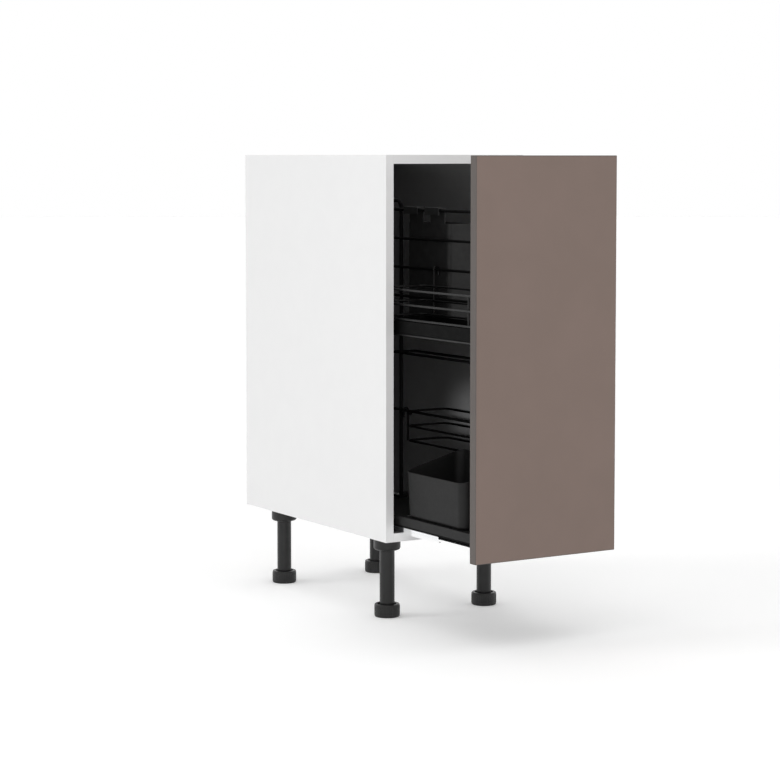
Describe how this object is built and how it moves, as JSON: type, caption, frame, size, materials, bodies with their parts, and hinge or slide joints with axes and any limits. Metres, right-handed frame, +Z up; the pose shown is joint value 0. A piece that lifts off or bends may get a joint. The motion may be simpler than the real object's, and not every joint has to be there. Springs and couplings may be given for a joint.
{
  "type": "pull-out base cabinet",
  "caption": "Narrow kitchen base cabinet on legs with a pull-out for cleaning things: slab door, wire frame, caddy, bottle rail, storage box, pocket and towel rail.",
  "frame": {"origin": "on the floor under the centre of the whole object's box, with the pull-out as pictured", "axes": "+Z up, -Y the way the pull-out opens, +X to the right of someone facing the back, so the carcass's left side panel lies at -X when the door is faced"},
  "size_m": [0.3, 0.83, 0.854],
  "materials": {
    "carcass_board": "matte coated board",
    "back_board": "matte coated board",
    "dark_board": "matte coated board",
    "door_lacquer": "matte lacquer",
    "beech": "raw",
    "zinc": "zinc plated",
    "steel": "galvanised",
    "dark_metal": "satin powder coat",
    "dark_plastic": "fine grain",
    "grey_plastic": "fine grain"
  },
  "bodies": {
    "carcass": {"left_side_panel": "carcass_board", "right_side_panel": "carcass_board", "bottom_panel": "carcass_board", "front_top_rail": "carcass_board", "rear_top_rail": "carcass_board", "back_panel": "back_board", "carcass_dowels": "beech", "cam_bolts": "zinc", "cam_locks": "zinc", "runner_rail_left": "steel", "runner_rail_right": "steel", "runner_rail_screws": "zinc", "leg_socket_front_left": "dark_plastic", "leg_socket_front_right": "dark_plastic", "leg_socket_rear_left": "dark_plastic", "leg_socket_rear_right": "dark_plastic", "leg_tube_front_left": "dark_plastic", "leg_tube_front_right": "dark_plastic", "leg_tube_rear_left": "dark_plastic", "leg_tube_rear_right": "dark_plastic"},
    "runner_middle": {"runner_middle_left": "steel", "runner_middle_right": "steel"},
    "pull_out": {"runner_drawer_member_left": "dark_metal", "runner_drawer_member_right": "dark_metal", "runner_drawer_screws": "zinc", "base_board": "dark_board", "door_front": "door_lacquer", "door_angle_left": "dark_metal", "door_angle_right": "dark_metal", "door_angle_screws": "zinc", "front_hoop": "dark_metal", "rear_hoop": "dark_metal", "frame_top_rail": "dark_metal", "frame_rungs": "dark_metal", "front_foot_plate": "dark_metal", "rear_foot_plate": "dark_metal", "foot_plate_screws": "zinc", "door_clip_upper": "dark_plastic", "door_clip_lower": "dark_plastic", "door_clip_screws": "zinc", "bottle_rings": "dark_metal", "bottle_posts": "dark_metal", "bottle_arms": "dark_metal", "towel_rail": "dark_metal"},
    "caddy": {"caddy_tray": "dark_plastic", "caddy_rings": "dark_metal", "caddy_posts": "dark_metal", "caddy_hangers": "dark_metal"},
    "box": {"storage_box": "grey_plastic"},
    "pocket": {"hanging_pocket": "grey_plastic"},
    "foot_front_left": {"leg_foot_front_left": "dark_plastic"},
    "foot_front_right": {"leg_foot_front_right": "dark_plastic"},
    "foot_rear_left": {"leg_foot_rear_left": "dark_plastic"},
    "foot_rear_right": {"leg_foot_rear_right": "dark_plastic"}
  },
  "joints": [
    {"name": "pull_out_slide", "type": "slide", "parent": "carcass", "child": "pull_out", "axis": [0, -1, 0], "range_m": [-0.27, 0.18]},
    {"name": "runner_middle_slide", "type": "slide", "parent": "carcass", "child": "runner_middle", "axis": [0, -1, 0], "range_m": [-0.135, 0.09]},
    {"name": "caddy_lift", "type": "slide", "parent": "pull_out", "child": "caddy", "axis": [0, 0, 1], "range_m": [0, 0.02]},
    {"name": "box_lift", "type": "slide", "parent": "pull_out", "child": "box", "axis": [0, 0, 1], "range_m": [0, 0.02]},
    {"name": "pocket_lift", "type": "slide", "parent": "pull_out", "child": "pocket", "axis": [0, 0, 1], "range_m": [0, 0.02]},
    {"name": "foot_turn_front_left", "type": "hinge", "parent": "carcass", "child": "foot_front_left", "pos_m": [-0.108, -0.06, 0], "axis": [0, 0, 1], "continuous": true},
    {"name": "foot_turn_front_right", "type": "hinge", "parent": "carcass", "child": "foot_front_right", "pos_m": [0.108, -0.06, 0], "axis": [0, 0, 1], "continuous": true},
    {"name": "foot_turn_rear_left", "type": "hinge", "parent": "carcass", "child": "foot_rear_left", "pos_m": [-0.108, 0.335, 0], "axis": [0, 0, 1], "continuous": true},
    {"name": "foot_turn_rear_right", "type": "hinge", "parent": "carcass", "child": "foot_rear_right", "pos_m": [0.108, 0.335, 0], "axis": [0, 0, 1], "continuous": true}
  ],
  "couplings": [
    {"joint": "runner_middle_slide", "follows": "pull_out_slide", "ratio": 0.5}
  ]
}
